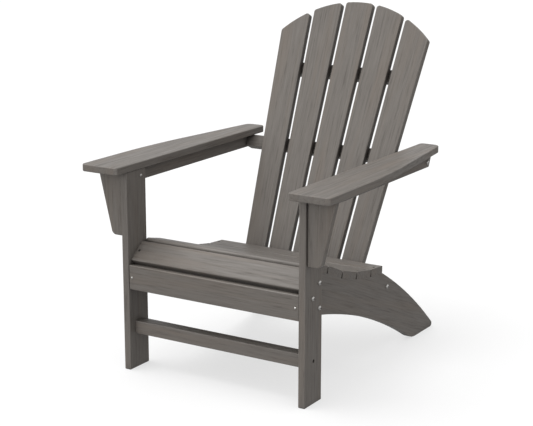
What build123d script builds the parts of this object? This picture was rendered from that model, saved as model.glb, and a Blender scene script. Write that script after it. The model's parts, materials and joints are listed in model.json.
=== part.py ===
from build123d import *
import os
from math import asin, atan2, cos, degrees, radians, sin, tan

os.makedirs("parts", exist_ok=True)

# A fan-back garden chair of plastic lumber, in millimetres.
# +Z is up and the sitter faces -Y. Left is -X, as seen by someone in front of the chair.
# The origin is on the floor, under the middle of the chair's box.

# ---------------------------------------------------------------- driving dimensions
board = 21.0                 # thickness of every flat board
stock = 38.0                 # square stock of the stretcher and the three back rails
ease = 3.0                   # radius on every long edge
half_clear = 279.0           # half the clear width between the front legs
leg_depth = 90.0             # front to back
leg_height = 581.0           # floor to the underside of the arm

recline = 25.12              # degrees that the back leans away from upright
back_foot_y = 507.7          # back's front face behind the front of the legs, at back_foot_z
back_foot_z = 300.0
fan_radius = 2882.0          # the slats' centre lines meet this far below back_foot_z
fan_step = 1.694             # degrees between neighbouring slats
slat_gap = 14.3              # even gap between back slats
slat_count = 5
crown_radius = 362.2         # arc across the top of the back
crown_centre = 407.7         # its centre, up the slope from back_foot_z
slat_bottom = -103.0         # lower end of the back slats, along the slope
slat_corner = 9.0            # rounded top corners of the back slats

arm_overhang = 51.0          # arm in front of the leg
arm_inner = 274.5            # inner edge of the arm from the middle of the chair
arm_outer = 398.5            # outer edge at the front
arm_end_outer = 338.0        # outer edge at the rear end
arm_end_y = 722.0            # rear end behind the front of the legs
arm_bend_y = 265.0           # where the outer edge turns inwards
arm_bend_radius = 2120.0
arm_rail_height = 41.0

# ---------------------------------------------------------------- the shared frame
back_tip = back_foot_y + (crown_centre + crown_radius - ease) * sin(radians(recline))
back_tip += (board - ease) * cos(radians(recline)) + ease     # rearmost point, behind the leg fronts
leg_front = -(back_tip - arm_overhang) / 2                    # Y of the front of the legs
leg_outer = half_clear + board


def y_at(distance):
    """Y of a point that is this far behind the front of the legs."""
    return leg_front + distance


# ---------------------------------------------------------------- the back's own plane
lean = radians(recline)
back_plane = Plane(
    origin=(0, y_at(back_foot_y), back_foot_z),
    x_dir=(1, 0, 0),
    z_dir=(0, -cos(lean), sin(lean)),
)


def on_back(x, up, behind):
    """A point by its place across, up the slope and behind the front face of the slats."""
    return back_plane.from_local_coords(Vector(x, up, -behind))


rail_middle = board + stock / 2                               # centre of a back rail, behind the face
upper_rail_up = 549.5                                         # centres of the rails, up the slope
middle_rail_up = 301.6
lower_rail_up = -81.5
upper_rail_half = 220.0       # ends hidden behind the outer slats

# ---------------------------------------------------------------- the seat's flats
# Corners of the top edge of the side boards, as (behind the leg fronts, height):
# the nose, the peak, the joints between slats, and the rear end of the seat.
seat_flats = [
    (23.0, 308.0),
    (79.5, 355.2),
    (153.0, 337.5),
    (234.6, 302.8),
    (319.3, 278.6),
    (406.7, 263.9),
    (478.0, 258.7),
]
seat_half = half_clear - 0.2                                  # slats stop just short of the legs
slat_set_back = 3.0                                           # from each joint between slats
knee_slat = 1                # the second slat, under the knees, has a rounder front edge
knee_radius = 9.0
nose_set_back = 4.5                                           # first slat clears the apron


def flat_direction(number):
    """Angle of one flat above level, and its length."""
    y0, z0 = seat_flats[number]
    y1, z1 = seat_flats[number + 1]
    return atan2(z1 - z0, y1 - y0), ((y1 - y0) ** 2 + (z1 - z0) ** 2) ** 0.5


def seat_slat_span(number):
    """Start and end of a slat along its flat."""
    length = flat_direction(number)[1]
    if number == 0:
        return nose_set_back, length
    if number == len(seat_flats) - 2:
        return slat_set_back, length
    return slat_set_back, length - slat_set_back


def seat_slat_plane(number, above):
    """Plane on a slat's middle line, this far above the side boards."""
    angle, length = flat_direction(number)
    start, end = seat_slat_span(number)
    middle = (start + end) / 2
    y0, z0 = seat_flats[number]
    return Plane(
        origin=(
            0,
            y_at(y0) + middle * cos(angle) - above * sin(angle),
            z0 + middle * sin(angle) + above * cos(angle),
        ),
        x_dir=(1, 0, 0),
        z_dir=(0, -sin(angle), cos(angle)),
    )


# ---------------------------------------------------------------- fasteners: sizes
bolt_shank = 6.3
bolt_head = 13.0
bolt_dome = 6.0
socket_across = 4.6          # across the flats, on a bolt; smaller heads in proportion
socket_share = 0.7           # depth of the socket as a share of the dome
rim_share = 0.35             # straight rim of a head as a share of its dome
crown_out = 0.34             # the head's round passes through this share of its width
crown_up = 0.72              # and this share of the height above the rim
tip_share = 0.3              # width of a shank's tip as a share of the shank
screw_shank = 4.8
screw_head = 9.5
screw_dome = 3.0
trim_head = 7.0              # small heads on the apron and the seat
slack = 0.1                  # between a shank and its bore
head_slack = 0.5             # between a head and its pocket
overcut = 1.0                # a cutting tool starts this far outside the wood
washer_outer = 16.0
washer_thick = 1.5
nut_across = 11.0
nut_thick = 7.0
nut_hex_share = 0.7          # the rest of a nut's height is its round collar
nut_collar_share = 0.44      # collar radius as a share of the width across flats


def head_and_shank(shank, head, dome, length):
    """A button-head fastener: the head's underside at z = 0, the shank down to -length."""
    with BuildPart() as fastener:
        with BuildSketch(Plane.XZ):
            with BuildLine():
                Polyline(
                    (0, dome),
                    (0, -length),
                    (shank / 2 * tip_share, -length),
                    (shank / 2, -length + shank),
                    (shank / 2, 0),
                    (head / 2, 0),
                    (head / 2, dome * rim_share),
                )
                ThreePointArc(
                    (head / 2, dome * rim_share),
                    (head * crown_out, dome * (rim_share + (1 - rim_share) * crown_up)),
                    (0, dome),
                )
            make_face()
        revolve(axis=Axis.Z)
        with BuildSketch(Plane.XY.offset(dome + overcut)):
            RegularPolygon(socket_across / 2 * head / bolt_head, 6, major_radius=False)
        extrude(amount=-overcut - dome * socket_share, mode=Mode.SUBTRACT)
    return fastener.part


def bore_for(shank, head, length, deep=0.0):
    """What a fastener's hole takes away: its shank's bore, and a pocket down to its head."""
    with BuildPart() as bore:
        with BuildSketch(Plane.XY.offset(overcut)):
            Circle(shank / 2 + slack)
        extrude(amount=-length - 2 * overcut)
        if deep > 0:
            with BuildSketch(Plane.XY):
                Circle(head / 2 + head_slack)
            extrude(amount=deep + overcut)
    return bore.part


def facing(x, y, z, out):
    """Where the underside of a head sits, and the way the head faces."""
    return Plane(origin=(x, y, z), z_dir=out).location


# ---------------------------------------------------------------- fasteners: places
leg_bolt_spots = [(73.0, 335.0), (38.0, 300.0), (73.0, 265.0)]
bolt_past_nut = 3.0
leg_bolt_length = 2 * board + washer_thick + nut_thick + bolt_past_nut
leg_bore_length = leg_bolt_length + 20.0                      # right through both boards
leg_bolt_places = [
    facing(side * leg_outer, y_at(y), z, (side, 0, 0))
    for side in (-1, 1)
    for y, z in leg_bolt_spots
]

rail_bolt_length = board + 50.0
lower_rail_centre = on_back(0, lower_rail_up, rail_middle)
middle_rail_centre = on_back(0, middle_rail_up, rail_middle)
lower_bolt_places = [
    facing(side * half_clear, lower_rail_centre.Y, lower_rail_centre.Z, (side, 0, 0))
    for side in (-1, 1)
]
arm_rail_bolt_places = [
    facing(side * (leg_outer + board), middle_rail_centre.Y, middle_rail_centre.Z, (side, 0, 0))
    for side in (-1, 1)
]

leg_top_length = board + 17.0
leg_top_screw_y = 68.0
leg_top_places = [
    facing(side * half_clear, y_at(leg_top_screw_y), leg_height - arm_rail_height / 2, (-side, 0, 0))
    for side in (-1, 1)
]

apron_front = 2.0                                             # set back from the leg fronts
apron_bottom = 242.0
apron_top = 313.5
apron_screw_length = board + 42.0
side_middle = half_clear - board / 2                          # middle of a side board's thickness
apron_screw_places = [
    facing(side * side_middle, y_at(apron_front), (apron_bottom + apron_top) / 2, (0, -1, 0))
    for side in (-1, 1)
]

stretcher_front = 27.5
stretcher_bottom = 103.5
stretcher_recess = 6.0
stretcher_screw_length = board - stretcher_recess + 44.0
stretcher_screw_places = [
    facing(
        side * (leg_outer - stretcher_recess),
        y_at(stretcher_front + stock / 2),
        stretcher_bottom + stock / 2,
        (side, 0, 0),
    )
    for side in (-1, 1)
]

seat_recess = 4.0
seat_screw_length = board - seat_recess + 30.0
one_screw_width = 75.0       # a slat narrower than this has one screw at each end


def seat_screw_places(number):
    """Screws down through one seat slat into the side boards."""
    start, end = seat_slat_span(number)
    width = end - start
    across = (0.0,) if width < one_screw_width else (-width / 4, width / 4)
    head_plane = seat_slat_plane(number, board - seat_recess)
    places = []
    for side in (-1, 1):
        for v in across:
            spot = head_plane.from_local_coords(Vector(side * side_middle, v, 0))
            places.append(Plane(origin=spot, x_dir=(1, 0, 0), z_dir=head_plane.z_dir).location)
    return places


back_recess = 7.0
back_screw_length = stock - back_recess + board - 6.0
back_screw_spread = 15.0


def fan_angle(number):
    """Lean of one back slat to the side; slat 1 is the left one."""
    return radians(fan_step * (number - (slat_count + 1) / 2))


def back_screw_places(number):
    """Screws through the three back rails into one back slat, from behind."""
    angle = fan_angle(number)
    places = []
    for up in (lower_rail_up, middle_rail_up, upper_rail_up):
        middle = (fan_radius + up) * tan(angle)
        for side in (-1, 1):
            spot = on_back(middle + side * back_screw_spread, up, board + stock - back_recess)
            head_plane = Plane(origin=spot, x_dir=(1, 0, 0), z_dir=(0, cos(lean), -sin(lean)))
            places.append(head_plane.location)
    return places


arm_screw_recess = 20.0
arm_screw_length = arm_rail_height - arm_screw_recess + 15.0
arm_screw_height = leg_height - arm_rail_height + arm_screw_recess
arm_screw_spots = (120.0, 290.0, 460.0, 620.0)
arm_screw_places = [
    facing(side * (leg_outer + board / 2), y_at(y), arm_screw_height, (0, 0, -1))
    for side in (-1, 1)
    for y in arm_screw_spots
]

bracket_front = 9.0
bracket_top_width = 85.0
bracket_bottom_width = 40.0
bracket_bottom = 393.5
bracket_corner = 15.0
pocket_angle = radians(20.0)
pocket_out = 17.0            # the pocket's floor, out from the leg
pocket_shift = 1.0           # and forward of the middle of the board
pocket_length = 40.0
bracket_screw_length = 30.0
bracket_screw_heights = (440.0, 530.0)
bracket_screw_y = y_at(bracket_front + board / 2 + pocket_out * tan(pocket_angle) - pocket_shift)
bracket_screw_places = [
    facing(
        side * (leg_outer + pocket_out),
        bracket_screw_y,
        z,
        (side * cos(pocket_angle), sin(pocket_angle), 0),
    )
    for side in (-1, 1)
    for z in bracket_screw_heights
]

bolt_bore = bore_for(bolt_shank, bolt_head, leg_bore_length)
rail_bolt_bore = bore_for(bolt_shank, bolt_head, rail_bolt_length)
leg_top_bore = bore_for(screw_shank, screw_head, leg_top_length)
apron_bore = bore_for(screw_shank, trim_head, apron_screw_length)
stretcher_bore = bore_for(screw_shank, screw_head, stretcher_screw_length, stretcher_recess)
seat_bore = bore_for(screw_shank, trim_head, seat_screw_length, seat_recess)
back_bore = bore_for(screw_shank, screw_head, back_screw_length, back_recess)
arm_bore = bore_for(screw_shank, screw_head, arm_screw_length, arm_screw_recess)
bracket_bore = bore_for(screw_shank, screw_head, bracket_screw_length, pocket_length)


def drill(bore, places):
    """Take a bore out of the part being built, at each place."""
    with Locations(*places):
        add(bore, mode=Mode.SUBTRACT)


def save(piece, name):
    piece.label = name
    export_step(piece, f"parts/{name}.step")


# ---------------------------------------------------------------- front legs
def make_front_leg(side, name):
    with BuildPart() as leg:
        with BuildSketch(Plane.XY):
            with Locations((side * (half_clear + board / 2), y_at(leg_depth / 2))):
                Rectangle(board, leg_depth)
        extrude(amount=leg_height)
        fillet(leg.edges(), ease)
        drill(bolt_bore, leg_bolt_places)
        drill(leg_top_bore, leg_top_places)
        drill(stretcher_bore, stretcher_screw_places)
        drill(bracket_bore, bracket_screw_places)
    save(leg.part, name)


# ---------------------------------------------------------------- side boards (seat rails and rear feet)
under_front = (23.0, 248.0)
under_middle = (335.0, 166.1)
foot_heel = 684.0                                             # front end of the rear foot, on the floor
tail_middle = (652.5, 150.3)
tail_end = (839.0, 0.0)                                       # where the tail would meet the floor
tail_tip_radius = 9.5
heel_radius = 90.0
sawn_ease = 1.5              # lighter rounding along the sawn curves


def side_point(spot):
    """A corner of the side board's outline, from its place behind the leg fronts."""
    behind, height = spot
    return (y_at(behind), height)


def make_side_board(side, name):
    inner_face = half_clear - board if side > 0 else -half_clear
    top_line = [side_point(spot) for spot in seat_flats]
    with BuildPart() as side_board:
        with BuildSketch(Plane.YZ.offset(inner_face)) as outline:
            with BuildLine():
                Polyline(*top_line)
                ThreePointArc(top_line[-1], side_point(tail_middle), side_point(tail_end))
                Line(side_point(tail_end), side_point((foot_heel, 0)))
                ThreePointArc(side_point((foot_heel, 0)), side_point(under_middle), side_point(under_front))
                Line(side_point(under_front), top_line[0])
            make_face()
            heel = outline.vertices().group_by(Axis.Y)[0].sort_by(Axis.X)[0]
            fillet(heel, heel_radius)
            tail_tip = outline.vertices().group_by(Axis.Y)[0].sort_by(Axis.X)[-1]
            fillet(tail_tip, tail_tip_radius)
        extrude(amount=board)
        fillet(side_board.edges().filter_by(GeomType.CIRCLE), sawn_ease)
        drill(bolt_bore, leg_bolt_places)
        drill(rail_bolt_bore, lower_bolt_places)
        drill(apron_bore, apron_screw_places)
        for number in range(len(seat_flats) - 1):
            drill(seat_bore, seat_screw_places(number))
    save(side_board.part, name)


# ---------------------------------------------------------------- apron and stretcher
def make_front_apron():
    with BuildPart() as apron:
        with BuildSketch(Plane.XZ.offset(-y_at(apron_front))):
            with Locations((0, (apron_bottom + apron_top) / 2)):
                Rectangle(2 * seat_half, apron_top - apron_bottom)
        extrude(amount=-board)
        fillet(apron.faces().sort_by(Axis.Y)[0].edges(), ease)
        drill(apron_bore, apron_screw_places)
    save(apron.part, "front_apron")


def make_front_stretcher():
    with BuildPart() as stretcher:
        with BuildSketch(Plane.YZ.offset(-half_clear)):
            with Locations((y_at(stretcher_front + stock / 2), stretcher_bottom + stock / 2)):
                Rectangle(stock, stock)
        extrude(amount=2 * half_clear)
        fillet(stretcher.edges().filter_by(Axis.X), ease)
        drill(stretcher_bore, stretcher_screw_places)
    save(stretcher.part, "front_stretcher")


# ---------------------------------------------------------------- seat slats
def top_front_edge(slat):
    """The front one of the two long edges on a slat's top."""
    top = slat.faces().sort_by(Axis.Z)[-1]
    return top.edges().filter_by(Axis.X).sort_by(Axis.Y)[0]


def make_seat_slat(number):
    start, end = seat_slat_span(number)
    with BuildPart() as slat:
        with BuildSketch(seat_slat_plane(number, 0)):
            Rectangle(2 * seat_half, end - start)
        extrude(amount=board)
        long_edges = slat.edges().filter_by(Axis.X)
        if number == knee_slat:
            knee_edge = top_front_edge(slat)
            fillet([edge for edge in long_edges if edge != knee_edge], ease)
            fillet(top_front_edge(slat), knee_radius)
        else:
            fillet(long_edges, ease)
        drill(seat_bore, seat_screw_places(number))
    save(slat.part, f"seat_slat_{number + 1}")


# ---------------------------------------------------------------- back slats
def make_back_slat(number):
    angle = fan_angle(number)
    half_step = radians(fan_step / 2)

    def edge_point(radius, side):
        reach = radius * tan(half_step) - slat_gap / 2
        x = radius * sin(angle) + side * reach * cos(angle)
        up = radius * cos(angle) - side * reach * sin(angle) - fan_radius
        return (x, up)

    low = fan_radius + 2 * slat_bottom
    high = fan_radius + crown_centre + 2 * crown_radius
    with BuildPart() as slat:
        with BuildSketch(back_plane) as outline:
            with BuildLine():
                Polyline(
                    edge_point(low, -1),
                    edge_point(low, 1),
                    edge_point(high, 1),
                    edge_point(high, -1),
                    close=True,
                )
            make_face()
            with BuildSketch(back_plane, mode=Mode.INTERSECT):
                with Locations((0, crown_centre)):
                    Circle(crown_radius)
                with Locations((0, (crown_centre + slat_bottom) / 2)):
                    Rectangle(2 * crown_radius, crown_centre - slat_bottom)
        extrude(amount=-board)
        long_edges = [edge for edge in slat.edges() if abs(edge.length - board) < 0.01]
        top_corners = ShapeList(long_edges).sort_by(Axis.Z)[-2:]
        fillet(top_corners, slat_corner)
        fillet(slat.edges(), ease)
        drill(back_bore, back_screw_places(number))
    save(slat.part, f"back_slat_{number}")


# ---------------------------------------------------------------- back rails
def make_back_rail(name, up, half_length, bolts):
    end = on_back(-half_length, up, rail_middle)
    section = Plane(origin=end, x_dir=(0, -cos(lean), sin(lean)), z_dir=(1, 0, 0))
    with BuildPart() as rail:
        with BuildSketch(section):
            Rectangle(stock, stock)
        extrude(amount=2 * half_length)
        fillet(rail.edges(), ease)
        for number in range(1, slat_count + 1):
            drill(back_bore, back_screw_places(number))
        if bolts:
            drill(rail_bolt_bore, bolts)
    save(rail.part, name)


# ---------------------------------------------------------------- arms, brackets and arm rails
arm_front_corner = 13.0
arm_inner_corner = 9.0
arm_end_corner = 22.0
arm_end_inner_corner = 14.0


def make_arm(side, name):
    with BuildPart() as arm:
        with BuildSketch(Plane.XY.offset(leg_height)) as outline:
            with BuildLine():
                Polyline(
                    (side * arm_inner, y_at(-arm_overhang)),
                    (side * arm_outer, y_at(-arm_overhang)),
                    (side * arm_outer, y_at(arm_bend_y)),
                    (side * arm_end_outer, y_at(arm_end_y)),
                    (side * arm_inner, y_at(arm_end_y)),
                    close=True,
                )
            make_face()
            for x, y, radius in (
                (arm_outer, arm_bend_y, arm_bend_radius),
                (arm_outer, -arm_overhang, arm_front_corner),
                (arm_inner, -arm_overhang, arm_inner_corner),
                (arm_end_outer, arm_end_y, arm_end_corner),
                (arm_inner, arm_end_y, arm_end_inner_corner),
            ):
                corner = Vector(side * x, y_at(y), leg_height)
                fillet(outline.vertices().sort_by_distance(corner)[0], radius)
        extrude(amount=board)
        top_edges = arm.faces().sort_by(Axis.Z)[-1].edges()
        bottom_edges = arm.faces().sort_by(Axis.Z)[0].edges()
        fillet(top_edges + bottom_edges, ease)
        drill(arm_bore, arm_screw_places)
    save(arm.part, name)


def make_arm_bracket(side, name):
    with BuildPart() as bracket:
        with BuildSketch(Plane.XZ.offset(-y_at(bracket_front))) as outline:
            with BuildLine():
                Polyline(
                    (side * leg_outer, leg_height),
                    (side * (leg_outer + bracket_top_width), leg_height),
                    (side * (leg_outer + bracket_bottom_width), bracket_bottom),
                    (side * leg_outer, bracket_bottom),
                    close=True,
                )
            make_face()
            low_corners = outline.vertices().group_by(Axis.Y)[0].sort_by(Axis.X)
            fillet(low_corners[-1 if side > 0 else 0], bracket_corner)
        extrude(amount=-board)
        front_edges = bracket.faces().sort_by(Axis.Y)[0].edges()
        rear_edges = bracket.faces().sort_by(Axis.Y)[-1].edges()
        fillet(front_edges + rear_edges, ease)
        drill(bracket_bore, bracket_screw_places)
    save(bracket.part, name)


def make_arm_rail(side, name):
    inner_face = leg_outer if side > 0 else -leg_outer - board
    low = leg_height - arm_rail_height

    def rear_end(z):
        return y_at(back_foot_y + (z - back_foot_z) * tan(lean) + (board + stock) / cos(lean))

    with BuildPart() as rail:
        with BuildSketch(Plane.YZ.offset(inner_face)):
            with BuildLine():
                Polyline(
                    (y_at(bracket_front + board), low),
                    (y_at(bracket_front + board), leg_height),
                    (rear_end(leg_height), leg_height),
                    (rear_end(low), low),
                    close=True,
                )
            make_face()
        extrude(amount=board)
        fillet(rail.edges(), ease)
        drill(arm_bore, arm_screw_places)
        drill(rail_bolt_bore, arm_rail_bolt_places)
        drill(leg_top_bore, leg_top_places)
    save(rail.part, name)


# ---------------------------------------------------------------- groups of identical fasteners
def make_fasteners(name, shape, places):
    with BuildPart() as group:
        with Locations(*places):
            add(shape)
    save(group.part, name)


def make_washers_and_nuts():
    inner_places = [
        facing(side * (half_clear - board), y_at(y), z, (-side, 0, 0))
        for side in (-1, 1)
        for y, z in leg_bolt_spots
    ]
    with BuildPart() as washer:
        Cylinder(washer_outer / 2, washer_thick, align=(Align.CENTER, Align.CENTER, Align.MIN))
        Hole(bolt_shank / 2 + slack)
    with BuildPart() as nut:
        with BuildSketch(Plane.XY.offset(washer_thick)):
            RegularPolygon(nut_across / 2, 6, major_radius=False)
        extrude(amount=nut_thick * nut_hex_share)
        with BuildSketch(Plane.XY.offset(washer_thick + nut_thick * nut_hex_share)):
            Circle(nut_across * nut_collar_share)
        extrude(amount=nut_thick * (1 - nut_hex_share))
        Hole(bolt_shank / 2 + slack)
    make_fasteners("leg_bolt_washers", washer.part, inner_places)
    make_fasteners("leg_bolt_nuts", nut.part, inner_places)


# ---------------------------------------------------------------- build everything
for side, word in ((-1, "left"), (1, "right")):
    make_front_leg(side, f"front_leg_{word}")
    make_side_board(side, f"side_board_{word}")
    make_arm(side, f"arm_{word}")
    make_arm_bracket(side, f"arm_bracket_{word}")
    make_arm_rail(side, f"arm_rail_{word}")

make_front_apron()
make_front_stretcher()
for number in range(len(seat_flats) - 1):
    make_seat_slat(number)
for number in range(1, slat_count + 1):
    make_back_slat(number)

make_back_rail("lower_back_rail", lower_rail_up, half_clear - board, lower_bolt_places)
make_back_rail("middle_back_rail", middle_rail_up, leg_outer, arm_rail_bolt_places)
make_back_rail("upper_back_rail", upper_rail_up, upper_rail_half, None)

leg_bolt = head_and_shank(bolt_shank, bolt_head, bolt_dome, leg_bolt_length)
rail_bolt = head_and_shank(bolt_shank, bolt_head, bolt_dome, rail_bolt_length)
make_fasteners("leg_bolts", leg_bolt, leg_bolt_places)
make_fasteners("lower_rail_bolts", rail_bolt, lower_bolt_places)
make_fasteners("arm_rail_bolts", rail_bolt, arm_rail_bolt_places)
make_washers_and_nuts()


def make_screws(name, length, places, head=screw_head):
    make_fasteners(name, head_and_shank(screw_shank, head, screw_dome, length), places)


make_screws("leg_top_screws", leg_top_length, leg_top_places)
make_screws("apron_screws", apron_screw_length, apron_screw_places, trim_head)
make_screws("stretcher_screws", stretcher_screw_length, stretcher_screw_places)
make_screws(
    "seat_slat_screws",
    seat_screw_length,
    [place for number in range(len(seat_flats) - 1) for place in seat_screw_places(number)],
    trim_head,
)
make_screws(
    "back_slat_screws",
    back_screw_length,
    [place for number in range(1, slat_count + 1) for place in back_screw_places(number)],
)
make_screws("arm_screws", arm_screw_length, arm_screw_places)
make_screws("bracket_screws", bracket_screw_length, bracket_screw_places)
print(f"leg fronts at y = {leg_front:.2f}, back's tip at y = {y_at(back_tip):.2f}")
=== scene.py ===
# %% [markdown]
# # A fan-back garden chair of plastic lumber
# The chair is built from flat boards with softly rounded edges, and a few kinds of bolt and screw.
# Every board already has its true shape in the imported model, so this lesson is about what the model
# lacks: the look of the boards and the metal, the light, the floor and the camera.
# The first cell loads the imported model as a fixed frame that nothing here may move.

# %% Load the frame
import json
import math

import bpy
from mathutils import Matrix, Vector

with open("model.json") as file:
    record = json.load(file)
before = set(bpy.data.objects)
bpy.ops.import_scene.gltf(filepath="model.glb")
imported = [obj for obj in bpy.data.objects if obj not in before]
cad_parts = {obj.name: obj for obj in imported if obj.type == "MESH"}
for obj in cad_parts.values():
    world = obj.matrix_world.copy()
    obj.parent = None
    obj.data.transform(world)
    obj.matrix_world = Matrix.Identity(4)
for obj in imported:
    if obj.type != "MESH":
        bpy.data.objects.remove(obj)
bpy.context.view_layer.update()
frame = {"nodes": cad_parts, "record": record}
boards_and_metal = frame["nodes"]
print("pieces in the frame:", len(boards_and_metal))

# %% [markdown]
# ## Which way each board runs
# Plastic lumber is pushed out of a die in long lengths, and its embossed grain runs along the board.
# A cut board keeps that direction, so grain has to follow each board, not the world.
# One material with world coordinates would run every board's grain the same way, and unwrapping each
# board is slow work. Here each board gets its own small frame instead: a centre and a rotation, whose
# X axis lies along the board, Y across it and Z through it.

# %% Frames for the boards
RECLINE = math.radians(25.12)      # lean of the back
FAN_STEP = math.radians(1.694)     # turn from one back slat to the next
MIDDLE_SLAT = 3                    # the back slat with no turn to the side
BACK_SLATS = 5
SEAT_TILTS = (39.9, -13.5, -23.0, -15.9, -9.5, -4.2)  # front to rear, in degrees
SIDE_BOARD_WAY = (0, 0.93, -0.37)  # a line from the seat's front down to the rear foot


def frame_from(long_way, through):
    """A rotation whose X axis is long_way and whose Z axis is close to through."""
    x = Vector(long_way).normalized()
    z = Vector(through)
    z = (z - x * z.dot(x)).normalized()
    y = z.cross(x)
    return Matrix((x, y, z)).transposed().to_euler()


up_the_back = Vector((0, math.sin(RECLINE), math.cos(RECLINE)))
out_of_back = Vector((0, -math.cos(RECLINE), math.sin(RECLINE)))
board_ways = {
    "front_apron": frame_from((1, 0, 0), (0, -1, 0)),
    "front_stretcher": frame_from((1, 0, 0), (0, -1, 0)),
}
for side in ("left", "right"):
    board_ways[f"front_leg_{side}"] = frame_from((0, 0, 1), (1, 0, 0))
    board_ways[f"side_board_{side}"] = frame_from(SIDE_BOARD_WAY, (1, 0, 0))
    board_ways[f"arm_{side}"] = frame_from((0, 1, 0), (0, 0, 1))
    board_ways[f"arm_rail_{side}"] = frame_from((0, 1, 0), (1, 0, 0))
    board_ways[f"arm_bracket_{side}"] = frame_from((0, 0, 1), (0, -1, 0))
for number, tilt in enumerate(SEAT_TILTS, start=1):
    angle = math.radians(tilt)
    out_of_seat = (0, -math.sin(angle), math.cos(angle))
    board_ways[f"seat_slat_{number}"] = frame_from((1, 0, 0), out_of_seat)
for number in range(1, BACK_SLATS + 1):
    turn = FAN_STEP * (number - MIDDLE_SLAT)
    along = up_the_back * math.cos(turn) + Vector((math.sin(turn), 0, 0))
    board_ways[f"back_slat_{number}"] = frame_from(along, out_of_back)
for level in ("lower", "middle", "upper"):
    board_ways[f"{level}_back_rail"] = frame_from((1, 0, 0), out_of_back)
print("boards with a grain direction:", len(board_ways))

# %% [markdown]
# ## Small helpers for node materials
# A material is a graph of nodes. Written out in full, each node takes four or five lines, which hides
# the idea behind the typing. Three short helpers add a node, join two sockets, and give a socket either
# a number or a link, so each later line reads like one step of the recipe.

# %% Helpers for node materials


def add_node(tree, kind, **settings):
    """Adds a node. Settings that name an input set its value, others set the node's own property."""
    node = tree.nodes.new(kind)
    for key, value in settings.items():
        if hasattr(node, key):
            setattr(node, key, value)
        else:
            node.inputs[key.replace("_", " ")].default_value = value
    return node


def join(tree, output, target):
    tree.links.new(output, target)


def feed(tree, value, socket):
    """Gives a socket a fixed value, or joins another node's output to it."""
    if isinstance(value, (int, float, tuple)):
        socket.default_value = value
    else:
        join(tree, value, socket)


print("helpers ready: add_node, join, feed")

# %% [markdown]
# ## Arithmetic on grain
# Grain starts as noise, and noise has to be added, multiplied and stretched before it is useful. These
# helpers each add one node and give back its output: a sum or product, a change of range that stops at
# both ends, and a mix of two colours. The inputs of a Mix node are found by identifier, because it has
# several inputs with the same name, one for each kind of data.

# %% Helpers for arithmetic and colour


def maths(tree, operation, first, second=0.0, third=0.0):
    """A Math node. Each of first, second and third is a number or another node's output."""
    node = add_node(tree, "ShaderNodeMath", operation=operation)
    for socket, value in zip(node.inputs, (first, second, third)):
        feed(tree, value, socket)
    return node.outputs[0]


def remap(tree, value, old_range, new_range):
    """Stretches one range of values onto another, and holds anything outside it at the ends."""
    node = add_node(tree, "ShaderNodeMapRange", clamp=True)
    join(tree, value, node.inputs["Value"])
    node.inputs["From Min"].default_value, node.inputs["From Max"].default_value = old_range
    node.inputs["To Min"].default_value, node.inputs["To Max"].default_value = new_range
    return node.outputs["Result"]


def blend_colours(tree, share, first, second):
    """Mixes two colours; each is a tuple or another node's output."""
    node = add_node(tree, "ShaderNodeMix", data_type="RGBA")
    values = {"Factor_Float": share, "A_Color": first, "B_Color": second}
    for socket in node.inputs:
        if socket.identifier in values:
            feed(tree, values[socket.identifier], socket)
    return next(output for output in node.outputs if output.identifier == "Result_Color")


def new_material(name):
    material = bpy.data.materials.new(name)
    material.use_nodes = True
    tree = material.node_tree
    tree.nodes.clear()
    shader = add_node(tree, "ShaderNodeBsdfPrincipled")
    output = add_node(tree, "ShaderNodeOutputMaterial")
    join(tree, shader.outputs["BSDF"], output.inputs["Surface"])
    return material, tree, shader


print("helpers ready: maths, remap, blend_colours, new_material")

# %% [markdown]
# ## The grain of plastic lumber
# Each board is one solid colour of plastic, grey with a little brown in it, that was brushed and
# embossed to look like timber. Close up there are three layers: broad soft bands along the board
# where the brown shows more, thin dark and light streaks about a hand's width long, and short, very
# fine scratches that catch the light.
# Noise that is squeezed across the board and stretched along it gives all three. A Mapping node of
# the Texture kind first turns the point into the board's own frame and then divides it by a size,
# so the sizes below are real lengths in metres: along, across and through.

# %% Grain layers
BAND_SIZE = (0.45, 0.030, 0.030)
STREAK_SIZE = (0.11, 0.0050, 0.0050)
SCRATCH_SIZE = (0.030, 0.0012, 0.0012)
GRAIN_ROUGHNESS = 0.55             # how much each finer level of the noise counts


def grain_layer(tree, place, centre, way, size, detail):
    """Noise along one board, from 0 to 1, made of lumps of the given size in metres."""
    mapping = add_node(tree, "ShaderNodeMapping", vector_type="TEXTURE")
    mapping.inputs["Location"].default_value = centre
    mapping.inputs["Rotation"].default_value = way
    mapping.inputs["Scale"].default_value = size
    join(tree, place, mapping.inputs["Vector"])
    noise = add_node(tree, "ShaderNodeTexNoise", noise_dimensions="3D", Scale=1.0, Detail=detail)
    noise.inputs["Roughness"].default_value = GRAIN_ROUGHNESS
    join(tree, mapping.outputs["Vector"], noise.inputs["Vector"])
    return noise.outputs["Fac"]


for layer, size in (("bands", BAND_SIZE), ("streaks", STREAK_SIZE), ("scratches", SCRATCH_SIZE)):
    print(layer, "are this size in mm:", [round(length * 1000, 1) for length in size])

# %% [markdown]
# ## The colour of the boards
# The colour is a grey-brown with little contrast. A dark and a light tone of it are mixed by the
# streaks and scratches, a browner tone comes in with the bands, and the deepest streaks are much
# darker, like the brushed grooves of such boards. A colour ramp could hold all of these tones, but
# separate mixes let each layer keep its own range and strength.

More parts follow.
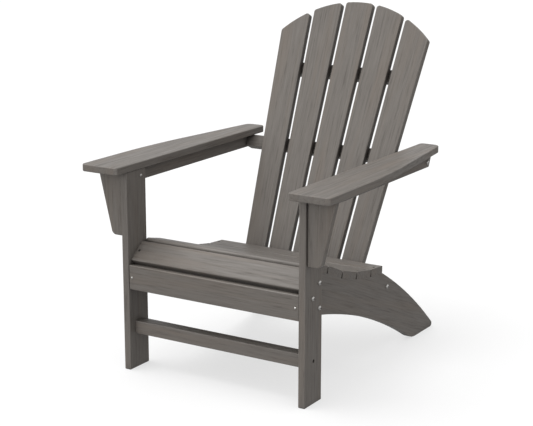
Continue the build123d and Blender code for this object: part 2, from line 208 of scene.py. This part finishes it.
# %% Colour of the grain
DARK_TONE = (0.109, 0.098, 0.088, 1)
LIGHT_TONE = (0.162, 0.148, 0.135, 1)
BROWN_TONE = (0.152, 0.127, 0.106, 1)
GROOVE_TONE = (0.066, 0.057, 0.051, 1)
STREAK_SHARE = 0.62                # of the mix of tones; scratches make the rest
SCRATCH_SHARE = 0.38
TONE_RANGE = (0.30, 0.70)          # grain from all dark to all light
BROWN_RANGE = (0.48, 0.72)         # bands from no brown to the most brown
BROWN_SHARE = 0.55
STREAK_GROOVES = (0.44, 0.34)      # streaks from no groove to a full groove
SCRATCH_GROOVES = (0.56, 0.40)
GROOVE_SHARE = 0.5


def grain_colour(tree, bands, streaks, scratches):
    tone = maths(tree, "MULTIPLY_ADD", streaks, STREAK_SHARE, 0.0)
    tone = maths(tree, "MULTIPLY_ADD", scratches, SCRATCH_SHARE, tone)
    colour = blend_colours(tree, remap(tree, tone, TONE_RANGE, (0.0, 1.0)), DARK_TONE, LIGHT_TONE)
    brown = remap(tree, bands, BROWN_RANGE, (0.0, BROWN_SHARE))
    colour = blend_colours(tree, brown, colour, BROWN_TONE)
    in_streaks = remap(tree, streaks, STREAK_GROOVES, (0.0, 1.0))
    in_scratches = remap(tree, scratches, SCRATCH_GROOVES, (0.0, GROOVE_SHARE))
    grooves = maths(tree, "MULTIPLY", in_streaks, in_scratches)
    return blend_colours(tree, grooves, colour, GROOVE_TONE)


print("light tone over dark tone:", round(LIGHT_TONE[0] / DARK_TONE[0], 2))

# %% [markdown]
# ## Paler edges, partly painted highlight, and painted shade in the gaps
# The rounded edges are a touch paler: partly the wear of handled plastic, and partly a painted
# highlight along them. An edge is found from the surface normal: seen in the board's own frame, a flat
# face has one large part and an edge has two. The narrow gaps between boards get painted shade: such
# soft light leaves them too bright, so the colour is made darker there. An Ambient Occlusion node
# measures how much of the view around a point is blocked by something close, so it finds those gaps
# with no mask drawn by hand.

# %% Edges and gaps
# paler tone of the rounded edges: partly wear of handled plastic, partly a painted highlight
WORN_EDGE_AND_HIGHLIGHT_TONE = (0.260, 0.243, 0.228, 1)
EDGE_WEAR_AND_HIGHLIGHT_SHARE = 0.25
EDGE_NORMALS = (0.99, 0.80)        # the normal's largest part, on a flat face and on an edge
EDGE_STREAKS = (0.35, 0.65)
UNDER_STREAKS = (0.5, 1.0)         # streaks let only this much of the pale edge through
# painted shade: the colour laid into narrow gaps where other parts are close
PAINTED_GAP_SHADE_TONE = (0.020, 0.017, 0.015, 1)
PAINTED_GAP_SHADE_SHARE = 0.85
GAP_REACH = 0.045                  # metres; anything nearer counts as close
GAP_OPENNESS = (0.65, 0.15)        # open view around a point, where the darkening starts and is full
GAP_SAMPLES = 8


# Paints the rounded edges paler: partly wear, partly a painted highlight along each edge.
def worn_edges_and_painted_highlight(tree, normal, way, streaks, colour):
    turn = add_node(tree, "ShaderNodeMapping", vector_type="TEXTURE")
    turn.inputs["Rotation"].default_value = way
    join(tree, normal, turn.inputs["Vector"])
    parts = add_node(tree, "ShaderNodeSeparateXYZ")
    join(tree, turn.outputs["Vector"], parts.inputs["Vector"])
    along, across, through = [maths(tree, "ABSOLUTE", parts.outputs[axis]) for axis in "XYZ"]
    largest = maths(tree, "MAXIMUM", maths(tree, "MAXIMUM", along, across), through)
    edge = remap(tree, largest, EDGE_NORMALS, (0.0, EDGE_WEAR_AND_HIGHLIGHT_SHARE))
    edge = maths(tree, "MULTIPLY", edge, remap(tree, streaks, EDGE_STREAKS, UNDER_STREAKS))
    return blend_colours(tree, edge, colour, WORN_EDGE_AND_HIGHLIGHT_TONE)


# Paints shade into the narrow gaps, where other boards are close.
def painted_gap_shade(tree, colour):
    nearness = add_node(tree, "ShaderNodeAmbientOcclusion", samples=GAP_SAMPLES, Distance=GAP_REACH)
    gap_shade_mask = remap(tree, nearness.outputs["AO"], GAP_OPENNESS, (0.0, PAINTED_GAP_SHADE_SHARE))
    return blend_colours(tree, gap_shade_mask, colour, PAINTED_GAP_SHADE_TONE)


print("gaps are darkened within this many mm:", GAP_REACH * 1000)

# %% [markdown]
# ## Relief and sheen
# Embossed grain can be felt with a finger, but it is far too shallow to model as mesh. Bump nodes tilt
# the surface normal instead: one for the streaks, and a second one on top of it for the scratches.
# The plastic is half dull. Its sheen is uneven, because the streaks are a little smoother than the
# hollows between them.

# %% Relief and sheen
ROUGHNESS_RANGE = (0.58, 0.40)     # in the hollows, and on the streaks
SHEEN_STREAKS = (0.3, 0.7)
LUMBER_SPECULAR = 0.26
STREAK_HEIGHT = 0.00030            # metres
SCRATCH_HEIGHT = 0.00012


def embossed_relief(tree, shader, streaks, scratches):
    roughness = remap(tree, streaks, SHEEN_STREAKS, ROUGHNESS_RANGE)
    join(tree, roughness, shader.inputs["Roughness"])
    shader.inputs["Specular IOR Level"].default_value = LUMBER_SPECULAR
    relief = add_node(tree, "ShaderNodeBump", Strength=1.0, Distance=STREAK_HEIGHT)
    join(tree, streaks, relief.inputs["Height"])
    fine_relief = add_node(tree, "ShaderNodeBump", Strength=1.0, Distance=SCRATCH_HEIGHT)
    join(tree, scratches, fine_relief.inputs["Height"])
    join(tree, relief.outputs["Normal"], fine_relief.inputs["Normal"])
    join(tree, fine_relief.outputs["Normal"], shader.inputs["Normal"])


print("relief in mm:", round(STREAK_HEIGHT * 1000, 2), "and", round(SCRATCH_HEIGHT * 1000, 2))

# %% [markdown]
# ## Dressing the boards
# The lumber material is made once per board, because each board has its own turn. Its grain is also
# cut from another place in the noise, so that neighbouring boards don't look like copies. The three
# layers start from different places too, or they would line up with each other.

# %% Lumber on every board
GRAIN_SHIFT = (3.1, -1.7, 0.9)     # metres from one board's grain to the next board's
STREAK_PLACE = 1.3                 # the streaks' and scratches' centres, as shares of the bands'
SCRATCH_PLACE = 0.7


def lumber(name, way, number):
    material, tree, shader = new_material(f"lumber_{name}")
    coordinates = add_node(tree, "ShaderNodeTexCoord")
    place = coordinates.outputs["Object"]
    centre = Vector([shift * number for shift in GRAIN_SHIFT])
    bands = grain_layer(tree, place, centre, way, BAND_SIZE, 2.0)
    streaks = grain_layer(tree, place, centre * STREAK_PLACE, way, STREAK_SIZE, 4.0)
    scratches = grain_layer(tree, place, centre * SCRATCH_PLACE, way, SCRATCH_SIZE, 3.0)
    colour = grain_colour(tree, bands, streaks, scratches)
    # paler edges: partly wear, partly a painted highlight
    colour = worn_edges_and_painted_highlight(tree, coordinates.outputs["Normal"], way, streaks, colour)
    # painted shade in the narrow gaps between boards
    colour = painted_gap_shade(tree, colour)
    join(tree, colour, shader.inputs["Base Color"])
    embossed_relief(tree, shader, streaks, scratches)
    return material


def dress(piece, material):
    """Puts one material in every slot of a piece, and leaves its mesh alone."""
    if not piece.material_slots:
        piece.data.materials.append(material)
    for slot in piece.material_slots:
        slot.material = material


for number, (name, way) in enumerate(sorted(board_ways.items()), start=1):
    dress(boards_and_metal[name], lumber(name, way, number))
print("boards dressed:", len(board_ways))

# %% [markdown]
# ## The metal
# Two kinds of fastener are used. The bolts and the screws that show are plain stainless steel. The
# screws that sit down in holes are steel with a dark coating, so they don't shine out of the boards.
# Steel is a metallic surface whose roughness is uneven in tiny spots, from tumbling and handling.
# The coated kind is a dark, half-glossy layer with a few rubbed marks.

# %% Metal materials
SPOT_SCALE = 420.0                 # spots per metre
SPOT_RANGE = (0.4, 0.65)           # noise from clean to dull
PIT_STRENGTH = 0.3
PIT_DEPTH = 0.00005
metal_kinds = {
    "stainless": {
        "clean": (0.58, 0.57, 0.55, 1),
        "dull": (0.36, 0.35, 0.34, 1),
        "metallic": 1.0,
        "roughness": (0.22, 0.42),
    },
    "coated_screws": {
        "clean": (0.030, 0.028, 0.026, 1),
        "dull": (0.075, 0.072, 0.068, 1),
        "metallic": 0.4,
        "roughness": (0.35, 0.6),
    },
}


def metal(name, kind):
    material, tree, shader = new_material(f"metal_{name}")
    coordinates = add_node(tree, "ShaderNodeTexCoord")
    spots = add_node(tree, "ShaderNodeTexNoise", Scale=SPOT_SCALE, Detail=3.0)
    join(tree, coordinates.outputs["Object"], spots.inputs["Vector"])
    wear = remap(tree, spots.outputs["Fac"], SPOT_RANGE, (0.0, 1.0))
    join(tree, blend_colours(tree, wear, kind["clean"], kind["dull"]), shader.inputs["Base Color"])
    join(tree, remap(tree, wear, (0.0, 1.0), kind["roughness"]), shader.inputs["Roughness"])
    shader.inputs["Metallic"].default_value = kind["metallic"]
    pits = add_node(tree, "ShaderNodeBump", Strength=PIT_STRENGTH, Distance=PIT_DEPTH)
    join(tree, spots.outputs["Fac"], pits.inputs["Height"])
    join(tree, pits.outputs["Normal"], shader.inputs["Normal"])
    return material


metals = {name: metal(name, kind) for name, kind in metal_kinds.items()}
for entry in frame["record"]["subparts"]:
    if entry["material_slot"] in metals:
        dress(boards_and_metal[entry["node"]], metals[entry["material_slot"]])
print("metals made:", sorted(metals))

# %% [markdown]
# ## Floor
# A product stands on a white sweep, where the floor runs into the background with no line between
# them. A very large pale floor seen from slightly above fills the whole view and gives the same look
# more simply than a curved sheet. In a studio the sweep is lit on its own, so that it stays white
# while the shadow on it stays light. A glow in the floor's material does that here. The floor is kept
# out of the light that bounces onto the chair, because the next cell's glow from below stands for it.

# %% Floor
FLOOR_HALF = 300.0                 # metres from the middle to each side
FLOOR_CELLS = 12                   # squares along each side
FLOOR_GLOW = 0.63
FLOOR_TONE = (0.29, 0.29, 0.29, 1)
floor_step = 2 * FLOOR_HALF / FLOOR_CELLS
floor_points = []
floor_faces = []
for row in range(FLOOR_CELLS + 1):
    for column in range(FLOOR_CELLS + 1):
        floor_points.append((column * floor_step - FLOOR_HALF, row * floor_step - FLOOR_HALF, 0.0))
for row in range(FLOOR_CELLS):
    for column in range(FLOOR_CELLS):
        corner = row * (FLOOR_CELLS + 1) + column
        floor_faces.append((corner, corner + 1, corner + FLOOR_CELLS + 2, corner + FLOOR_CELLS + 1))
floor_mesh = bpy.data.meshes.new("studio_floor")
floor_mesh.from_pydata(floor_points, [], floor_faces)
floor = bpy.data.objects.new("studio_floor", floor_mesh)
bpy.context.scene.collection.objects.link(floor)
floor_material, tree, shader = new_material("floor_white")
shader.inputs["Base Color"].default_value = FLOOR_TONE
shader.inputs["Roughness"].default_value = 1.0
shader.inputs["Specular IOR Level"].default_value = 0.0
shader.inputs["Emission Color"].default_value = (1, 1, 1, 1)
shader.inputs["Emission Strength"].default_value = FLOOR_GLOW
floor_mesh.materials.append(floor_material)
floor.visible_diffuse = False
floor.visible_glossy = False
print("floor faces:", len(floor_faces))

# %% [markdown]
# ## Light
# The light is soft: a bright sky over the chair, a dimmer glow from below in place of the floor's
# bounce, a key light from high on the left, and a weaker light from low in front. So tops are
# brightest, fronts are in the middle, and the inner and outer sides are darker. The sky is a world
# whose strength follows the height of each direction. Both lights are suns with a very wide disc,
# which have soft shadows and the same strength everywhere. The Standard view keeps white as white.

# %% Light
SKY_GLOW = 0.90
GROUND_GLOW = 0.41
HORIZON = 0.15                     # the sky fades into the ground's glow within this height
LAMP_DISTANCE = 3.0                # a sun is as strong from anywhere; this keeps it near the chair
KEY_STRENGTH = 1.85
KEY_WIDTH = math.radians(40)
KEY_FROM = Vector((-0.35, -0.12, 0.92))
FRONT_STRENGTH = 1.20
FRONT_WIDTH = math.radians(40)
FRONT_FROM = Vector((0.0, -1.0, 0.15))
bpy.context.scene.view_settings.view_transform = "Standard"
world = bpy.data.worlds.new("studio_world")
bpy.context.scene.world = world
world.use_nodes = True
sky = world.node_tree
background = sky.nodes["Background"]
direction = add_node(sky, "ShaderNodeTexCoord")
height = add_node(sky, "ShaderNodeSeparateXYZ")
join(sky, direction.outputs["Generated"], height.inputs["Vector"])
glow = remap(sky, height.outputs["Z"], (-HORIZON, HORIZON), (GROUND_GLOW, SKY_GLOW))
join(sky, glow, background.inputs["Strength"])
background.inputs["Color"].default_value = (1, 1, 1, 1)


def wide_sun(name, towards, strength, width):
    lamp = bpy.data.lights.new(name, "SUN")
    lamp.energy = strength
    lamp.angle = width
    holder = bpy.data.objects.new(name, lamp)
    bpy.context.scene.collection.objects.link(holder)
    holder.rotation_euler = (-towards).to_track_quat("-Z", "Y").to_euler()
    holder.location = towards.normalized() * LAMP_DISTANCE


wide_sun("key_light", KEY_FROM, KEY_STRENGTH, KEY_WIDTH)
wide_sun("front_light", FRONT_FROM, FRONT_STRENGTH, FRONT_WIDTH)
for name, towards in (("key", KEY_FROM), ("front", FRONT_FROM)):
    print(name, "light's height angle:", round(math.degrees(math.asin(towards.normalized().z))))

# %% [markdown]
# ## Camera
# A long lens from well back keeps the chair's lines calm. The camera is placed by its turn round a
# point between the front legs, a little below the arms, its height angle and its distance from that
# point, which is easier to think about than three coordinates.

# %% Camera
TURN = math.radians(31.901)        # from straight in front, towards the right
RISE = math.radians(13.944)
DISTANCE = 3.8187
LOOK_AT = Vector((0.18047, -0.40078, 0.52557))
LENS = 98.19                       # focal length and film width in mm
FILM_WIDTH = 36.0
away = Vector((math.sin(TURN) * math.cos(RISE), -math.cos(TURN) * math.cos(RISE), math.sin(RISE)))
camera_data = bpy.data.cameras.new("camera")
camera_data.lens = LENS
camera_data.sensor_width = FILM_WIDTH
camera_data.sensor_fit = "HORIZONTAL"
camera = bpy.data.objects.new("camera", camera_data)
bpy.context.scene.collection.objects.link(camera)
camera.location = LOOK_AT + away * DISTANCE
camera.rotation_euler = (-away).to_track_quat("-Z", "Y").to_euler()
bpy.context.scene.camera = camera
print("camera at:", [round(v, 3) for v in camera.location])
